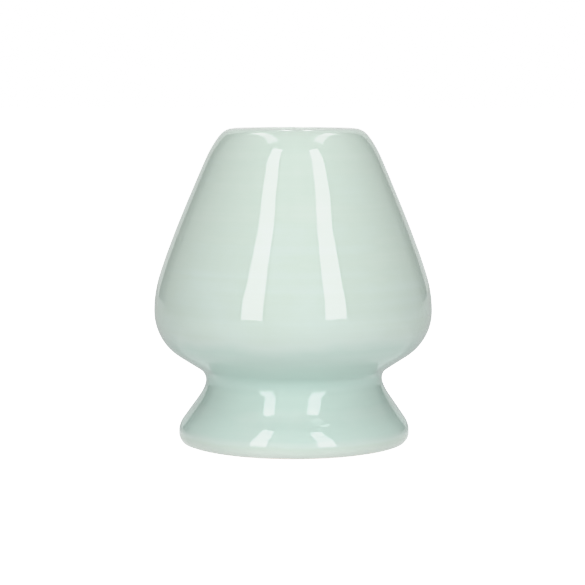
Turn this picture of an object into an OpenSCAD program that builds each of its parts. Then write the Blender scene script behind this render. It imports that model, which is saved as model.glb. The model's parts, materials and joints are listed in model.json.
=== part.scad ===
// Whisk holder for matcha: a hollow porcelain bell on a flared foot, glazed outside and inside.
// Every piece is turned about Z. An outline is a list of corners [radius, height, rounding],
// read from the crest of the lip down to the ring that the foot stands on.

/* [Overall] */
// Overall height, from the standing ring to the crest of the lip
height = 70; // [69:0.5:71]
// Widest diameter of the glazed belly
belly_d = 61.8; // [60:0.1:63]

/* [Lip and mouth] */
// Diameter of the glazed mouth
mouth_d = 19.2; // [17:0.2:21]
// Diameter of the circle along which the lip is highest
crest_d = 24.8; // [24:0.2:26]
// Diameter at which the top of the lip would meet the shoulder if neither were rounded
lip_d = 30.5; // [30:0.1:31]
// Rounding of the lip's outer edge
lip_round = 4; // [3:0.1:4.5]
// Rounding of the lip's edge into the mouth
mouth_round = 2.4; // [1.6:0.1:2.6]
// Depth of the lip, from its crest to its underside in the well
lip_depth = 6.2; // [5.5:0.1:7]
// Rounding of the lip's lower edge in the well
lip_under_round = 1.2; // [0.8:0.1:1.5]

/* [Shoulder and belly] */
// Diameter of the shoulder, where the lip's slope turns into the flank
shoulder_d = 37; // [36.5:0.1:37.5]
// Depth of the shoulder below the crest
shoulder_drop = 4.2; // [3.9:0.1:4.5]
// Rounding of the shoulder
shoulder_round = 25; // [16:1:28]
// Diameter half way down the flank, where it bulges very slightly
flank_d = 54.6; // [54.2:0.1:55]
// Depth of that place below the crest
flank_drop = 25.1; // [24.7:0.1:25.5]
// Rounding of the flank
flank_round = 170; // [90:5:180]
// Depth below the crest at which the flank would meet the upright side of the belly
belly_drop = 36.4; // [36:0.1:36.8]
// Rounding of the upper belly
belly_round = 26; // [20:1:30]
// Height at which the underside would meet the upright side of the belly
underside_z = 23.2; // [22.8:0.1:23.6]
// Rounding of the lower belly
underside_round = 11.5; // [9:0.1:12]

/* [Waist and foot] */
// Diameter of the waist just under the belly, before rounding
waist_d = 38.2; // [37.5:0.1:39]
// Height of the waist just under the belly, before rounding
waist_z = 15.6; // [15.3:0.1:15.8]
// Rounding of the corner between the belly's underside and the waist
waist_round = 3; // [2:0.1:3.2]
// Diameter of the foot's neck, where the flare starts
neck_d = 40.5; // [40:0.1:41]
// Height of the foot's neck
neck_z = 11.9; // [11.6:0.1:12.2]
// Rounding of the neck
neck_round = 10; // [6:0.5:12]
// Widest diameter of the glazed foot
toe_d = 51.5; // [51:0.1:52.5]
// Height at which the flare would meet the upright side of the toe
toe_z = 4.1; // [3.9:0.1:4.3]
// Rounding of the toe's upper edge
toe_round = 4.8; // [3.5:0.1:5]
// Rounding of the toe's lower edge
toe_under_round = 2.2; // [1.6:0.1:2.2]

/* [Inside] */
// Thickness of the bell's wall, glaze on both sides included
wall = 3.3; // [2.8:0.1:3.6]
// Thickness of the bell's floor and of the foot's flare, glaze included
foot_wall = 3.5; // [3.2:0.1:3.8]
// Diameter of the glazed passage from the bell into the foot
passage_d = 30; // [28:0.5:31]
// Diameter of the glazed hollow of the foot, just above the standing ring
hollow_d = 42.6; // [42:0.2:43]
// Rounding of the passage's edge in the bell
passage_round = 3; // [2:0.5:4]
// Rounding between the passage and the hollow of the foot
throat_round = 6; // [4:0.5:7]
// Rounding at the top of the hollow's upright rim
hollow_round = 2.5; // [1.5:0.1:3]
// Rounding of the standing ring's inner edge
ring_round = 0.8; // [0.5:0.1:1]

/* [Glaze and joint] */
// Thickness of the glaze over the lip, where it runs thin
glaze_lip = 0.25; // [0.2:0.05:0.3]
// Thickness of the glaze on the bell
glaze_bell = 0.35; // [0.25:0.05:0.45]
// Thickness of the glaze in the waist, where it pools
glaze_waist = 0.8; // [0.4:0.05:0.9]
// Thickness of the glaze on the foot
glaze_foot = 0.45; // [0.3:0.05:0.5]
// Thickness of the glaze inside
glaze_inside = 0.3; // [0.2:0.05:0.35]
// Height of the bare ring below the edge of the outer glaze
bare_outside = 0.6; // [0.5:0.1:1.2]
// Height of the bare ring below the edge of the inner glaze
bare_inside = 1.6; // [1.2:0.1:2]
// Height of the middle of the slip that joins the foot to the bell
joint_z = 14.2; // [14:0.1:14.4]
// Thickness of that slip
slip = 0.4; // [0.2:0.1:0.6]

/* [Hidden] */
$fn = 96;
arc_step = 4;

celadon = [0.77, 0.88, 0.84];
porcelain = [0.93, 0.90, 0.87];
slip_white = [0.90, 0.88, 0.86];

crest = [crest_d / 2, height, 0];
lip_corner = [lip_d / 2, height, lip_round];
shoulder = [shoulder_d / 2, height - shoulder_drop, shoulder_round];
flank = [flank_d / 2, height - flank_drop, flank_round];
belly_top = [belly_d / 2, height - belly_drop, belly_round];
belly_foot = [belly_d / 2, underside_z, underside_round];
waist = [waist_d / 2, waist_z, waist_round];
neck = [neck_d / 2, neck_z, neck_round];
toe = [toe_d / 2, toe_z, toe_round];
toe_foot = [toe_d / 2, 0, toe_under_round];
stand = [(toe_d / 2 - toe_under_round + hollow_d / 2) / 2, 0, 0];

// The glazed outside, and the porcelain under it: one thickness of glaze for each stretch
outside = [crest, lip_corner, shoulder, flank, belly_top, belly_foot, waist, neck, toe, toe_foot, stand];
outside_glaze = [
    glaze_lip, glaze_lip, glaze_bell, glaze_bell, glaze_bell,
    glaze_foot, glaze_waist, glaze_foot, glaze_foot, 0,
];
glazed_outside = rounded(outside);
clay_outside = rounded(moved(outside, outside_glaze));

// The glazed inside keeps the wall's thickness from the flank down to the foot
inner_shoulder = edge_corner(shoulder, flank, wall, [0, height - lip_depth], [1, 0], 2.5);
inner_flank = corner_moved(shoulder, flank, belly_top, wall, wall);
inner_belly_top = corner_moved(flank, belly_top, belly_foot, wall, wall);
inner_belly_foot = corner_moved(belly_top, belly_foot, waist, wall, foot_wall);
passage_top = edge_corner(belly_foot, waist, foot_wall, [passage_d / 2, 0], [0, 1], passage_round);
passage_foot = edge_corner(neck, toe, foot_wall, [passage_d / 2, 0], [0, 1], throat_round);
hollow_top = edge_corner(neck, toe, foot_wall, [hollow_d / 2, 0], [0, 1], hollow_round);
inside = [
    crest,
    [mouth_d / 2, height, mouth_round],
    [mouth_d / 2, height - lip_depth, lip_under_round],
    inner_shoulder, inner_flank, inner_belly_top, inner_belly_foot,
    passage_top, passage_foot, hollow_top,
    [hollow_d / 2, 0, ring_round],
    stand,
];
inside_glaze = [
    -glaze_lip, -glaze_inside, -glaze_inside, -glaze_inside, -glaze_inside, -glaze_inside,
    -glaze_inside, -glaze_inside, -glaze_inside, -glaze_inside, 0,
];
glazed_inside = rounded(inside);
clay_inside = rounded(moved(inside, inside_glaze));

// A corner without its rounding
function flat(p) = [p[0], p[1]];

// The unit vector from a to b, and the same turned a quarter turn to the left of the way down
function unit(a, b) = (b - a) / norm(b - a);
function left_of(v) = [-v[1], v[0]];

// The point where the line through p along v meets the line through q along w
function meet(p, v, q, w) = p + v * ((q - p) * left_of(w)) / (v * left_of(w));

// Corner b of the outline a, b, c once its two edges have moved in by t1 and t2
function corner_moved(a, b, c, t1, t2) =
    let (
        v = unit(flat(a), flat(b)),
        w = unit(flat(b), flat(c)),
        turn = cross(v, w),
        at = meet(flat(b) - left_of(v) * t1, v, flat(b) - left_of(w) * t2, w)
    )
    [at[0], at[1], b[2] + sign(turn) * (t1 + t2) / 2];

// The corner, rounded by r, where edge a to b moved in by t meets the line through q along w
function edge_corner(a, b, t, q, w, r) =
    let (
        v = unit(flat(a), flat(b)),
        at = meet(flat(b) - left_of(v) * t, v, q, w)
    )
    [at[0], at[1], r];

// A whole outline moved in, each edge by its own distance
function moved(line, t) =
    let (last = len(line) - 1)
    [
        for (i = [0 : last])
            i == 0 ? concat(flat(line[0]) - left_of(unit(flat(line[0]), flat(line[1]))) * t[0], 0) :
            i == last ? line[last] :
            corner_moved(line[i - 1], line[i], line[i + 1], t[i - 1], t[i])
    ];

// The points of one rounded corner b between a and c
function corner(a, b, c, r) =
    let (
        v = unit(a, b),
        w = unit(b, c),
        turn = atan2(cross(v, w), v * w),
        start = b - v * r * tan(abs(turn) / 2),
        centre = start + left_of(v) * r * sign(turn),
        steps = max(1, ceil(abs(turn) / arc_step))
    )
    [
        for (i = [0 : steps])
            let (angle = turn * i / steps, arm = start - centre)
            centre + [arm[0] * cos(angle) - arm[1] * sin(angle), arm[0] * sin(angle) + arm[1] * cos(angle)]
    ];

// How much of its edges the rounding of corner i takes up; the ends of an outline take none
function reach(line, i) =
    i == 0 || i == len(line) - 1 ? 0 :
    let (
        v = unit(flat(line[i - 1]), flat(line[i])),
        w = unit(flat(line[i]), flat(line[i + 1]))
    )
    line[i][2] * tan(abs(atan2(cross(v, w), v * w)) / 2);

// The share of the roundings at both ends of the edge after corner i that the edge has room for
function room(line, i) = min(1, norm(flat(line[i + 1] - line[i])) / (reach(line, i) + reach(line, i + 1)));

// All the points of an outline
function rounded(line) =
    let (last = len(line) - 1)
    [
        for (i = [0 : last])
            each (i == 0 || i == last)
                ? [flat(line[i])]
                : corner(
                    flat(line[i - 1]), flat(line[i]), flat(line[i + 1]),
                    line[i][2] * min(room(line, i - 1), room(line, i))
                )
    ];

// The point where a falling line of points crosses height z
function crossing(points, z) =
    [
        for (i = [0 : len(points) - 2])
            let (a = points[i], b = points[i + 1])
            if (a[1] > z && b[1] <= z) a + (b - a) * (a[1] - z) / (a[1] - b[1])
    ][0];

// The stretch of a falling line of points above or below height z
function above(points, z) = concat([for (p = points) if (p[1] > z) p], [crossing(points, z)]);
function below(points, z) = concat([crossing(points, z)], [for (p = points) if (p[1] < z) p]);

// The closed section between an outer and an inner line, without doubled points
function section(outer, inner) =
    let (
        loop = concat(outer, [for (i = [len(inner) - 1 : -1 : 0]) inner[i]]),
        count = len(loop)
    )
    [for (i = [0 : count - 1]) if (norm(loop[i] - loop[(i + 1) % count]) > 0.001) loop[i]];

module turned(outer, inner) {
    rotate_extrude()
        polygon(section(outer, inner));
}

// Upper body of porcelain, from the lip down to the joint in the waist
module bell() {
    foot_z = joint_z + slip / 2;
    color(porcelain)
        turned(above(clay_outside, foot_z), above(clay_inside, foot_z));
}

// Flared foot of porcelain; its standing ring stays bare
module foot() {
    top_z = joint_z - slip / 2;
    color(porcelain)
        turned(below(clay_outside, top_z), below(clay_inside, top_z));
}

// Thin ring of slip between the two
module luting_slip() {
    top_z = joint_z + slip / 2;
    foot_z = joint_z - slip / 2;
    color(slip_white)
        turned(
            [crossing(clay_outside, top_z), crossing(clay_outside, foot_z)],
            [crossing(clay_inside, top_z), crossing(clay_inside, foot_z)]
        );
}

// Celadon coat outside, from the crest of the lip to just above the standing ring
module outer_glaze() {
    color(celadon)
        turned(above(glazed_outside, bare_outside), above(clay_outside, bare_outside));
}

// The same glaze lining the mouth, the well, the passage and the hollow of the foot
module inner_glaze() {
    color(celadon)
        turned(above(clay_inside, bare_inside), above(glazed_inside, bare_inside));
}

bell();
foot();
luting_slip();
outer_glaze();
inner_glaze();
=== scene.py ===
"""A celadon whisk holder on a pale table: high-detail pieces turned from the CAD outline, glazes, bare
porcelain, studio light and camera. Outlines are in millimetres; everything in the scene is in metres."""

import json
import math

import bpy
import numpy as np
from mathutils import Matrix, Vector, noise


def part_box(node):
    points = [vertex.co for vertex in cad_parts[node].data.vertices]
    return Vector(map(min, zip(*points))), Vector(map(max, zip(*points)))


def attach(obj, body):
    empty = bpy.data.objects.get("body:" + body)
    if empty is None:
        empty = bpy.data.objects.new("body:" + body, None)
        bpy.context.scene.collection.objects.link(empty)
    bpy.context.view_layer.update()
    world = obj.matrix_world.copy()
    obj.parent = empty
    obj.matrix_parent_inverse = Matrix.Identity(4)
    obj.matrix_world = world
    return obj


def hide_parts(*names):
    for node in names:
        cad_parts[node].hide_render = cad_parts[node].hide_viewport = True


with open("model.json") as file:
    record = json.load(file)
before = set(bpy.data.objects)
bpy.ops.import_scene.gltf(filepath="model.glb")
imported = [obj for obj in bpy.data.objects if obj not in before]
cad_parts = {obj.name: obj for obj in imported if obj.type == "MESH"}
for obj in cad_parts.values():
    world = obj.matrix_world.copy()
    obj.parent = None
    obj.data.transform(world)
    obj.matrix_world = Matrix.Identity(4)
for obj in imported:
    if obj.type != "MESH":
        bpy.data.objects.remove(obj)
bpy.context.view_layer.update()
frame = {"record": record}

MM = 0.001

# ---------------------------------------------------------------- the holder's outline, from the frame

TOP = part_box("outer_glaze")[1].z / MM
BELLY_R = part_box("outer_glaze")[1].x / MM
GLAZE_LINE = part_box("outer_glaze")[0].z / MM
LINING_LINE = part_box("inner_glaze")[0].z / MM
JOINT_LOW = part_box("luting_slip")[0].z / MM
JOINT_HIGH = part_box("luting_slip")[1].z / MM
MOUTH_R = next(m for m in frame["record"]["mounts"] if m["name"] == "mouth")["dims"]["r_mm"]

CREST_R = 12.4
TOE_R = 25.75
HOLLOW_R = 21.3
STAND_R = 22.4

# Corners of the glazed outside, lip to standing ring: radius, height, rounding, glaze under the edge
# that follows
OUTSIDE = [
    (CREST_R, TOP, 0, 0.25),
    (15.25, TOP, 4, 0.25),
    (18.5, TOP - 4.2, 25, 0.35),
    (27.3, TOP - 25.1, 170, 0.35),
    (BELLY_R, TOP - 36.4, 26, 0.35),
    (BELLY_R, 23.2, 11.5, 0.45),
    (19.1, 15.6, 3, 0.8),
    (20.25, 11.9, 10, 0.45),
    (TOE_R, 4.1, 4.8, 0.45),
    (TOE_R, 0, 2.2, 0),
    (STAND_R, 0, 0, 0),
]
# Corners of the glazed inside, crest to standing ring
INSIDE = [
    (CREST_R, TOP, 0, 0.25),
    (MOUTH_R, TOP, 2.4, 0.3),
    (MOUTH_R, TOP - 6.2, 1.2, 0.3),
    (15.55, TOP - 6.2, 2.5, 0.3),
    (24.2, TOP - 26.35, 166.7, 0.3),
    (27.6, TOP - 37, 22.7, 0.3),
    (27.6, 25.2, 8.1, 0.3),
    (15, 17.1, 3, 0.3),
    (15, 13, 6, 0.3),
    (HOLLOW_R, 4.15, 2.5, 0.3),
    (HOLLOW_R, 0, 0.8, 0),
    (STAND_R, 0, 0, 0),
]


def unit(v):
    return v / np.linalg.norm(v)


def side(v):
    """The direction to the left of v, which is outward on a way that leads down."""
    return np.array([-v[1], v[0]])


def spun(v, angle):
    c, s = math.cos(angle), math.sin(angle)
    return np.array([v[0] * c - v[1] * s, v[0] * s + v[1] * c])


def moved_in(corners, sign):
    """The clay's corners: each edge of the glazed outline moved by its own glaze thickness."""
    points = [np.array(c[:2], float) for c in corners]
    ways = [unit(b - a) for a, b in zip(points, points[1:])]
    depth = [sign * c[3] for c in corners]
    moved = [(*(points[0] - side(ways[0]) * depth[0]), 0)]
    for i in range(1, len(points) - 1):
        v, w = ways[i - 1], ways[i]
        p = points[i] - side(v) * depth[i - 1]
        q = points[i] - side(w) * depth[i]
        at = p + v * ((q - p) @ side(w)) / (v @ side(w))
        turn = v[0] * w[1] - v[1] * w[0]
        moved.append((*at, corners[i][2] + np.sign(turn) * (depth[i - 1] + depth[i]) / 2))
    moved.append(corners[-1][:3])
    return moved


def rounded(corners, step=math.radians(2)):
    """The points of an outline with rounded corners."""
    points = [np.array(c[:2], float) for c in corners]
    last = len(points) - 1
    turns = [0.0] * len(points)
    for i in range(1, last):
        v, w = unit(points[i] - points[i - 1]), unit(points[i + 1] - points[i])
        turns[i] = math.atan2(v[0] * w[1] - v[1] * w[0], v @ w)
    reach = [c[2] * math.tan(abs(t) / 2) for c, t in zip(corners, turns)]
    room = [
        min(1, np.linalg.norm(points[i + 1] - points[i]) / max(reach[i] + reach[i + 1], 1e-9))
        for i in range(last)
    ]
    line = [points[0]]
    for i in range(1, last):
        radius = corners[i][2] * min(room[i - 1], room[i])
        v = unit(points[i] - points[i - 1])
        start = points[i] - v * radius * math.tan(abs(turns[i]) / 2)
        centre = start + side(v) * radius * np.sign(turns[i])
        steps = max(1, math.ceil(abs(turns[i]) / step))
        for k in range(steps + 1):
            line.append(centre + spun(start - centre, turns[i] * k / steps))
    line.append(points[last])
    return np.array(line)


def spaced(line, gap):
    """The same line with evenly spaced points."""
    length = np.concatenate([[0], np.cumsum(np.linalg.norm(np.diff(line, axis=0), axis=1))])
    keep = np.concatenate([[True], np.diff(length) > 1e-6])
    length, line = length[keep], line[keep]
    at = np.linspace(0, length[-1], max(3, round(length[-1] / gap)))
    return np.stack([np.interp(at, length, line[:, 0]), np.interp(at, length, line[:, 1])], 1)


def eased(line, passes):
    """Rounds off the small jumps in curvature between arcs; the line's ends stay where they are."""
    line = line.copy()
    for _ in range(passes):
        line[1:-1] = line[1:-1] / 2 + (line[:-2] + line[2:]) / 4
    return line


def crossing(line, z):
    """The point where a falling line crosses height z."""
    for a, b in zip(line, line[1:]):
        if a[1] > z >= b[1]:
            return a + (b - a) * (a[1] - z) / (a[1] - b[1])


def above(line, z):
    return np.array([*(p for p in line if p[1] > z + 0.01), crossing(line, z)])


def below(line, z):
    return np.array([crossing(line, z), *(p for p in line if p[1] < z - 0.01)])


# Gaps between points in millimetres: fine where the glaze shines, coarse on the clay that it hides
OUTSIDE_GAP, INSIDE_GAP, CLAY_GAP = 0.33, 0.38, 0.9

glazed_outside = eased(spaced(rounded(OUTSIDE), OUTSIDE_GAP), 4)
glazed_inside = eased(spaced(rounded(INSIDE), INSIDE_GAP), 2)
clay_outside = spaced(rounded(moved_in(OUTSIDE, 1)), CLAY_GAP)
clay_inside = spaced(rounded(moved_in(INSIDE, -1)), CLAY_GAP)

# ---------------------------------------------------------------- what hand and kiln did to the shape

HEIGHT_STEP = 0.25
HEIGHTS = np.arange(0, TOP + HEIGHT_STEP, HEIGHT_STEP)


def along(heights, values, reach=3.0):
    """A value for every height, eased over a reach in millimetres."""
    steps = round(reach / HEIGHT_STEP)
    window = np.hanning(2 * steps + 1)
    padded = np.pad(np.interp(HEIGHTS, heights, values), steps, mode="edge")
    return np.convolve(padded, window / window.sum(), "valid")


def marks(places):
    """Shallow rings left by the fingers: height, reach and amount, fuller (+) or hollower (-)."""
    return sum(amount * np.exp(-(((HEIGHTS - z) / reach) ** 2)) for z, reach, amount in places)


# The foot was luted on a little to +X of the bell, and both are slightly out of round: the drift of the
# centre to +X and the swelling of the diagonals, in millimetres by height
DRIFT = along([0, 4, 10, 13, 15, 18, 27, 33, 50, 70], [0.2, 0.24, 0.34, 0.34, 0.2, -0.08, 0, 0, 0.07, 0.2])
OVAL = along([0, 5, 10, 16, 30, 45, 60, 70], [0, -0.12, -0.42, 0.05, 0.24, 0.3, 0.35, 0.25])
RINGS = marks([(63.5, 3, -0.06), (40.5, 4, 0.06)])
# These fade out towards the sides and leave the back as it is
FRONT_RINGS = marks(
    [
        (66.5, 3.5, 0.12),
        (53.3, 5.5, -0.22),
        (13.3, 0.9, -0.09),
        (11.6, 1.5, 0.1),
        (8.8, 1.6, -0.1),
        (6.6, 1.4, 0.13),
    ]
)


def shaped(radius, z, angles):
    """Where the points of a perfect ring of the outline have ended up."""
    front = angles + math.pi / 2
    swell = np.interp(z, HEIGHTS, OVAL) * np.sin(2 * front) + np.interp(z, HEIGHTS, RINGS)
    swell = swell + np.interp(z, HEIGHTS, FRONT_RINGS) * np.maximum(0, np.cos(front)) ** 2
    return (radius + swell) * np.cos(angles) + np.interp(z, HEIGHTS, DRIFT), (radius + swell) * np.sin(angles)


def flowed(x, y, z):
    """The slow unevenness of a glaze that has flowed, in millimetres; never proud of the outline."""
    slow = noise.noise(Vector((x / 9, y / 9, z / 12)))
    quick = noise.noise(Vector((x / 3.1, y / 3.1, z / 4.3)))
    return 0.025 * (slow - 1) + 0.006 * (quick - 1)


def bead(a, b):
    """The rounded lower edge of a glaze between its two faces."""
    middle, arm = (a + b) / 2, (a - b) / 2
    turn = -1 if arm[0] > 0 else 1
    steps = 6
    return np.array([middle + spun(arm, turn * math.pi * k / steps) for k in range(1, steps)])


AROUND = 256
EDGE_WANDER, EDGE_REACH = 0.12, 1.5


def turned(name, outer, inner, wavy=None, glaze_edge=None):
    """A ring-shaped piece between two lines (radius, height) that both lead down.

    wavy is the line whose surface is uneven glaze, and glaze_edge the height of its wiped lower edge,
    which wanders a little up and down."""
    tip = bead(outer[-1], inner[-1]) if glaze_edge else np.empty((0, 2))
    loop = np.concatenate([outer, tip, inner[::-1]])
    soft = np.zeros(len(loop))
    if wavy == "outer":
        soft[: len(outer)] = 1
    if wavy == "inner":
        soft[len(outer) + len(tip) :] = 1
    keep = np.linalg.norm(loop - np.roll(loop, -1, axis=0), axis=1) > 1e-4
    loop, soft = loop[keep], soft[keep]
    angles = np.linspace(0, 2 * math.pi, AROUND, endpoint=False)
    wiped = np.array([noise.noise(Vector((3 * math.cos(a), 3 * math.sin(a), 7))) for a in angles])
    points = []
    for (radius, z), amount in zip(loop, soft):
        x, y = shaped(radius, z, angles)
        height = np.full(AROUND, z)
        if amount:
            fade = min(1, max(0, z - (glaze_edge or 0)))
            swell = fade * np.array([flowed(u, v, z) for u, v in zip(x, y)])
            sign = 1 if wavy == "outer" else -1
            x, y = x + sign * swell * np.cos(angles), y + sign * swell * np.sin(angles)
        if glaze_edge:
            height += EDGE_WANDER * wiped * max(0, 1 - abs(z - glaze_edge) / EDGE_REACH)
        points.append(np.stack([x, y, height], 1) * MM)
    rings = len(loop)
    corner = np.arange(rings * AROUND).reshape(rings, AROUND)
    below_it, beside = np.roll(corner, -1, axis=0), np.roll(corner, -1, axis=1)
    faces = np.stack([corner, below_it, np.roll(below_it, -1, axis=1), beside], -1).reshape(-1, 4)
    mesh = bpy.data.meshes.new(name)
    mesh.from_pydata(np.concatenate(points).tolist(), [], faces.tolist())
    mesh.validate()
    mesh.shade_smooth()
    mesh.set_sharp_from_angle(angle=math.radians(40))
    piece = bpy.data.objects.new(name, mesh)
    bpy.context.scene.collection.objects.link(piece)
    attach(piece, "root")
    return piece


def paint_depth_and_light(piece, heights, depths):
    """Stores how thick the glaze lies, 0 to 1, on every vertex; where a value lands on the paler stop it
    carries painted light as well.
    """
    depth = piece.data.attributes.new("glaze_depth_and_light", "FLOAT", "POINT")
    z = np.array([v.co.z for v in piece.data.vertices]) / MM
    depth.data.foreach_set("value", np.interp(z, HEIGHTS, along(heights, depths, 2)).astype(np.float32))


# ---------------------------------------------------------------- materials


def new_material(name):
    material = bpy.data.materials.new(name)
    material.use_nodes = True
    nodes, links = material.node_tree.nodes, material.node_tree.links
    return material, nodes, links, nodes["Principled BSDF"]


def noise_node(nodes, links, place, scale, detail=3.0, roughness=0.5):
    texture = nodes.new("ShaderNodeTexNoise")
    texture.inputs["Scale"].default_value = scale
    texture.inputs["Detail"].default_value = detail
    texture.inputs["Roughness"].default_value = roughness
    links.new(place, texture.inputs["Vector"])
    return texture.outputs["Fac"]


def stretched(nodes, links, place, scale):
    mapping = nodes.new("ShaderNodeMapping")
    mapping.inputs["Scale"].default_value = scale
    links.new(place, mapping.inputs["Vector"])
    return mapping.outputs["Vector"]


def ranged(nodes, links, value, low, high, to_low, to_high):
    turn = nodes.new("ShaderNodeMapRange")
    for socket, number in zip(turn.inputs[1:5], (low, high, to_low, to_high)):
        socket.default_value = number
    links.new(value, turn.inputs["Value"])
    return turn.outputs["Result"]


def added(nodes, links, a, b):
    math_node = nodes.new("ShaderNodeMath")
    math_node.operation = "ADD"
    links.new(a, math_node.inputs[0])
    links.new(b, math_node.inputs[1])
    return math_node.outputs[0]


def ramp(nodes, links, value, stops):
    node = nodes.new("ShaderNodeValToRGB")
    while len(node.color_ramp.elements) < len(stops):
        node.color_ramp.elements.new(0.5)
    for element, (at, colour) in zip(node.color_ramp.elements, stops):
        element.position = at
        element.color = (*colour, 1)
    links.new(value, node.inputs["Fac"])
    return node.outputs["Color"]


def bump(nodes, links, height, distance):
    node = nodes.new("ShaderNodeBump")
    node.inputs["Distance"].default_value = distance
    links.new(height, node.inputs["Height"])
    return node.outputs["Normal"]


def celadon(name, stops):
    """Clear pale-green glaze: the deeper it lies, the greener, and one paler stop holds painted light. Fine
    bands show where the clay was turned.
    """
    material, nodes, links, shader = new_material(name)
    place = nodes.new("ShaderNodeTexCoord").outputs["Object"]
    depth = nodes.new("ShaderNodeAttribute")
    depth.attribute_name = "glaze_depth_and_light"
    clouds = ranged(nodes, links, noise_node(nodes, links, place, 90), 0.3, 0.7, -0.05, 0.05)
    flat = stretched(nodes, links, place, (14, 14, 800))
    bands = ranged(nodes, links, noise_node(nodes, links, flat, 1), 0.3, 0.7, -0.035, 0.035)
    fac = added(nodes, links, added(nodes, links, depth.outputs["Fac"], clouds), bands)
    links.new(ramp(nodes, links, fac, stops), shader.inputs["Base Color"])
    gloss = ranged(nodes, links, noise_node(nodes, links, place, 160), 0.3, 0.7, 0.012, 0.03)
    links.new(gloss, shader.inputs["Roughness"])
    peel = noise_node(nodes, links, place, 900, detail=1)
    links.new(bump(nodes, links, peel, 0.000004), shader.inputs["Normal"])
    shader.inputs["IOR"].default_value = 1.5
    return material


def bare_porcelain(name, pale, warm):
    """Unglazed fired porcelain, wiped with a sponge: matt, fine-grained, faintly blushed."""
    material, nodes, links, shader = new_material(name)
    place = nodes.new("ShaderNodeTexCoord").outputs["Object"]
    blush = noise_node(nodes, links, place, 220, detail=4)
    links.new(ramp(nodes, links, blush, [(0.35, pale), (0.7, warm)]), shader.inputs["Base Color"])
    dull = ranged(nodes, links, noise_node(nodes, links, place, 700), 0.3, 0.7, 0.5, 0.7)
    links.new(dull, shader.inputs["Roughness"])
    grain = noise_node(nodes, links, place, 6000, detail=4, roughness=0.7)
    links.new(bump(nodes, links, grain, 0.00004), shader.inputs["Normal"])
    return material


# Colour of the glaze by the depth painted on the mesh: thin over the crest, pooled in the waist, with painted
# light in one stop
GLAZE_AND_LIGHT_STOPS = [
    (0.0, (0.60, 0.65, 0.61)),
    (0.35, (0.503, 0.592, 0.532)),
    # Paler stop: painted light from the table on the down-facing lower belly, not a change in the glaze
    (0.45, (0.521, 0.612, 0.568)),
    (0.6, (0.468, 0.588, 0.538)),
    (0.75, (0.495, 0.62, 0.568)),
    (1.0, (0.475, 0.625, 0.57)),
]
outer_celadon = celadon("outer_celadon", GLAZE_AND_LIGHT_STOPS)
inner_celadon = celadon("inner_celadon", GLAZE_AND_LIGHT_STOPS)
porcelain = bare_porcelain("porcelain", (0.83, 0.81, 0.77), (0.82, 0.76, 0.70))
slip_clay = bare_porcelain("slip", (0.76, 0.72, 0.68), (0.72, 0.66, 0.60))

# ---------------------------------------------------------------- the pieces

outer_coat = turned(
    "outer_coat",
    above(glazed_outside, GLAZE_LINE),
    above(clay_outside, GLAZE_LINE),
    wavy="outer",
    glaze_edge=GLAZE_LINE,
)
# These depths bring the lower belly, near 25 mm up, onto the paler stop: painted light from the table below
# it
paint_depth_and_light(
    outer_coat,
    [0, 1, 2.5, 4, 10, 13, 15, 17, 20, 26, 45, 62, 70],
    [0.0, 0.1, 0.35, 0.6, 0.55, 0.75, 1.0, 0.95, 0.75, 0.42, 0.35, 0.33, 0.3],
)
lining = turned(
    "lining",
    above(clay_inside, LINING_LINE),
    above(glazed_inside, LINING_LINE),
    wavy="inner",
    glaze_edge=LINING_LINE,
)
paint_depth_and_light(
    lining,
    [0, 2, 12, 15, 19, 26, 45, 62, 68, 70],
    [0.4, 0.6, 0.6, 0.7, 0.9, 0.6, 0.45, 0.4, 0.2, 0.0],
)
bell_clay = turned("bell_clay", above(clay_outside, JOINT_HIGH), above(clay_inside, JOINT_HIGH))
foot_clay = turned("foot_clay", below(clay_outside, JOINT_LOW), below(clay_inside, JOINT_LOW))
slip_ring = turned(
    "slip_ring",
    np.array([crossing(clay_outside, JOINT_HIGH), crossing(clay_outside, JOINT_LOW)]),
    np.array([crossing(clay_inside, JOINT_HIGH), crossing(clay_inside, JOINT_LOW)]),
)
for piece, node, slot, material in (
    (outer_coat, "outer_glaze", "outer_celadon", outer_celadon),
    (lining, "inner_glaze", "inner_celadon", inner_celadon),
    (bell_clay, "bell", "porcelain", porcelain),
    (foot_clay, "foot", "porcelain", porcelain),
    (slip_ring, "luting_slip", "slip", slip_clay),
):
    piece.data.materials.append(material)
    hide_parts(node)

# ---------------------------------------------------------------- table, light and camera

# Radiance of each part of the studio, where 1 is as bright as white paper in the picture
STRIPS = 5.1
FRONT = 0.9
OVERHEAD = 3.2
REAR = 3.0
CEILING = 0.4
BACK = 0.75
SIDES = 0.29
DARK = 0.06
TABLE_GLOW = 0.85
TABLE_BEHIND = 0.55
OVEREXPOSED = 1.6


def panel(name, centre, size, aim, radiance):
    """A softbox that the camera doesn't see: centre, (width, height) and aim in metres."""
    light = bpy.data.lights.new(name, "AREA")
    light.shape = "RECTANGLE"
    light.size, light.size_y = size
    light.energy = radiance * math.pi * size[0] * size[1]
    lamp = bpy.data.objects.new(name, light)
    lamp.location = centre
    lamp.rotation_euler = (Vector(aim) - Vector(centre)).to_track_quat("-Z", "Y").to_euler()
    lamp.visible_camera = False
    bpy.context.scene.collection.objects.link(lamp)


def card(name, corners, glow, colour=(0, 0, 0), seen=False):
    """A flat wall of the studio, or its table, that gives off an even light of its own."""
    mesh = bpy.data.meshes.new(name)
    mesh.from_pydata(corners, [], [(0, 1, 2, 3)])
    thing = bpy.data.objects.new(name, mesh)
    bpy.context.scene.collection.objects.link(thing)
    material, nodes, links, shader = new_material(name)
    shader.inputs["Base Color"].default_value = (*colour, 1)
    shader.inputs["Roughness"].default_value = 0.9
    shader.inputs["Specular IOR Level"].default_value = 0
    shader.inputs["Emission Color"].default_value = (1, 1, 1, 1)
    shader.inputs["Emission Strength"].default_value = glow
    mesh.materials.append(material)
    thing.visible_camera = seen
    return thing


FLOOR_Z, ROOF_Z = -0.3, 2.2

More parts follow.
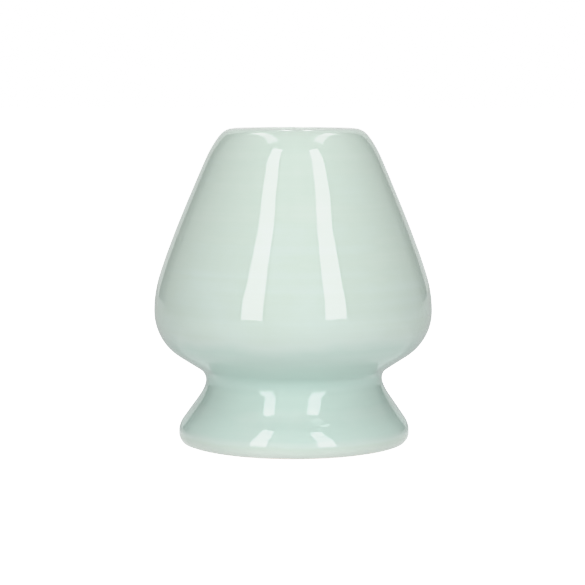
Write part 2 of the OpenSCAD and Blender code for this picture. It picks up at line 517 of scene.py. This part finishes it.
# Two tall strips in front, given by the directions of their edges from the object, in degrees
STRIP_DISTANCE = 1.2
STRIP_TOP = STRIP_DISTANCE * math.tan(math.radians(55.9))
for name, edges in (("strip_left", (-43.4, -26)), ("strip_right", (24.1, 42.1))):
    middle = math.radians(sum(edges) / 2)
    width = 2 * STRIP_DISTANCE * math.tan(math.radians(edges[1] - edges[0]) / 2)
    x, y = STRIP_DISTANCE * math.sin(middle), -STRIP_DISTANCE * math.cos(middle)
    z = (FLOOR_Z + STRIP_TOP) / 2
    panel(name, (x, y, z), (width, STRIP_TOP - FLOOR_Z), (0, 0, z), STRIPS)

# Two more overhead, which run from front to back
OVERHEAD_X, OVERHEAD_Z, OVERHEAD_WIDTH, OVERHEAD_FRONT = 0.378, 0.9, 0.2, -0.28
for name, x, back in (("overhead_left", -OVERHEAD_X, 0.5), ("overhead_right", OVERHEAD_X, 0.42)):
    y = (back + OVERHEAD_FRONT) / 2
    size = (OVERHEAD_WIDTH, back - OVERHEAD_FRONT)
    panel(name, (x, y, OVERHEAD_Z), size, (x, y, 0), OVERHEAD)

# And two narrow ones high behind it, which glint on the crest of the lip
for name, x in (("rear_left", -0.052), ("rear_right", 0.068)):
    panel(name, (x, 1.1, 0.92), (0.05, 0.3), (0, 0, TOP * MM), REAR)

# Dim walls at the sides, pale ones in front and behind with dark gaps between them, and a ceiling
SIDE_X, FRONT_Y, BACK_Y = 0.45, -1.3, 1.15
SIDE_FRONT, SIDE_BACK = -0.45, 0.38
BACK_HALF, CEILING_HALF = 0.7, 1.5
for name, x in (("side_left", -SIDE_X), ("side_right", SIDE_X)):
    ends = [(x, SIDE_FRONT), (x, SIDE_BACK)]
    card(name, [(*ends[0], FLOOR_Z), (*ends[1], FLOOR_Z), (*ends[1], ROOF_Z), (*ends[0], ROOF_Z)], SIDES)
front_half = -FRONT_Y * math.tan(math.radians(23.7))
for name, y, half, glow in (
    ("front_wall", FRONT_Y, front_half, FRONT),
    ("back_wall", BACK_Y, BACK_HALF, BACK),
):
    card(name, [(-half, y, FLOOR_Z), (half, y, FLOOR_Z), (half, y, ROOF_Z), (-half, y, ROOF_Z)], glow)


def level(half, near, far, z):
    """The corners of a level rectangle: half its width along X, and its two ends along Y."""
    return [(-half, near, z), (half, near, z), (half, far, z), (-half, far, z)]


card("ceiling", level(CEILING_HALF, -CEILING_HALF, CEILING_HALF, ROOF_Z), CEILING)

# The table that lights the object, in whose shade it is darker behind, and the overexposed one that the
# camera sees in its place. Both lie a hair under the standing ring, so that no two faces coincide.
TABLE, SHADE_Y, FLOOR, TABLE_Z = 1.1, 0.02, 6.6, -0.00005
card("table", level(TABLE, -TABLE, SHADE_Y, TABLE_Z), TABLE_GLOW)
card("table_behind", level(TABLE, SHADE_Y, TABLE, TABLE_Z), TABLE_BEHIND)
floor = card("floor", level(FLOOR, -FLOOR, FLOOR, TABLE_Z), OVEREXPOSED, (0.5, 0.5, 0.5), seen=True)
floor.visible_diffuse = False
floor.visible_glossy = False
floor.visible_shadow = False

world = bpy.data.worlds.new("studio")
world.use_nodes = True
sky = world.node_tree.nodes["Background"]
sky.inputs["Color"].default_value = (1, 1, 1, 1)
sky_nodes, sky_links = world.node_tree.nodes, world.node_tree.links
rays = sky_nodes.new("ShaderNodeLightPath")
strength = ranged(sky_nodes, sky_links, rays.outputs["Is Camera Ray"], 0, 1, DARK, OVEREXPOSED)
sky_links.new(strength, sky.inputs["Strength"])
bpy.context.scene.world = world

camera_data = bpy.data.cameras.new("camera")
camera_data.lens = 131.55
camera_data.sensor_width = 36
camera = bpy.data.objects.new("camera", camera_data)
camera.location = (-0.0001, -0.4735, 0.0797)
aim = Vector((-0.0001, 0, 0.0335))
camera.rotation_euler = (aim - camera.location).to_track_quat("-Z", "Y").to_euler()
bpy.context.scene.collection.objects.link(camera)
bpy.context.scene.camera = camera

# A plain picture with its brightest tones rolled off, so that reflections stay short of pure white
WHITE_LEVEL = 1.6
settings = bpy.context.scene.view_settings
settings.view_transform = "Standard"
settings.use_curve_mapping = True
settings.curve_mapping.white_level = (WHITE_LEVEL, WHITE_LEVEL, WHITE_LEVEL)
tones = settings.curve_mapping.curves[3]
for light, shown in ((0.8, 0.8), (0.957, 0.888)):
    tones.points.new(light / WHITE_LEVEL, shown)
for point in tones.points:
    point.handle_type = "VECTOR"
settings.curve_mapping.update()
